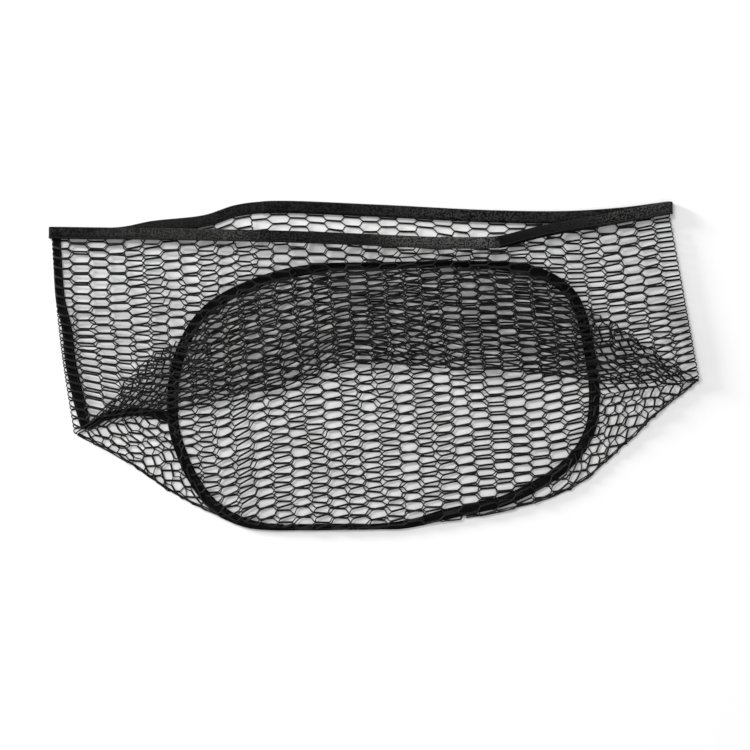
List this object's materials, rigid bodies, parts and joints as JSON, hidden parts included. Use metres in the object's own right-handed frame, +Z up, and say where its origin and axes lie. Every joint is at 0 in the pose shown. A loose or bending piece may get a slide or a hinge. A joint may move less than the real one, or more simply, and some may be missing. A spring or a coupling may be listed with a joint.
{
  "type": "hay net",
  "caption": "Knotless net bag with an oval net base and a bound rim, empty and laid flat on its back wall with the base pushed inside.",
  "frame": {"origin": "middle of the footprint, on the surface that the net lies on", "axes": "+X to the right along the rim, +Y towards the mouth of the bag, +Z up off the surface"},
  "size_m": [1.492, 0.7508, 0.0381],
  "materials": {
    "netting": "black braided polyester cord, slightly satin",
    "webbing": "black woven tape, fine ribs, slightly satin",
    "thread": "black bonded sewing thread"
  },
  "bodies": {
    "root": {"wall_net_back": "netting", "wall_net_front": "netting", "wall_net_tuck": "netting", "wall_net_fold_left": "netting", "wall_net_fold_right": "netting", "wall_net_side_left": "netting", "wall_net_side_right": "netting", "base_net": "netting", "base_binding": "webbing", "base_thread": "thread", "rim_binding_back": "webbing", "rim_thread_back": "thread", "rim_binding_front": "webbing", "rim_thread_front": "thread", "side_binding": "webbing", "side_thread": "thread"}
  },
  "joints": []
}
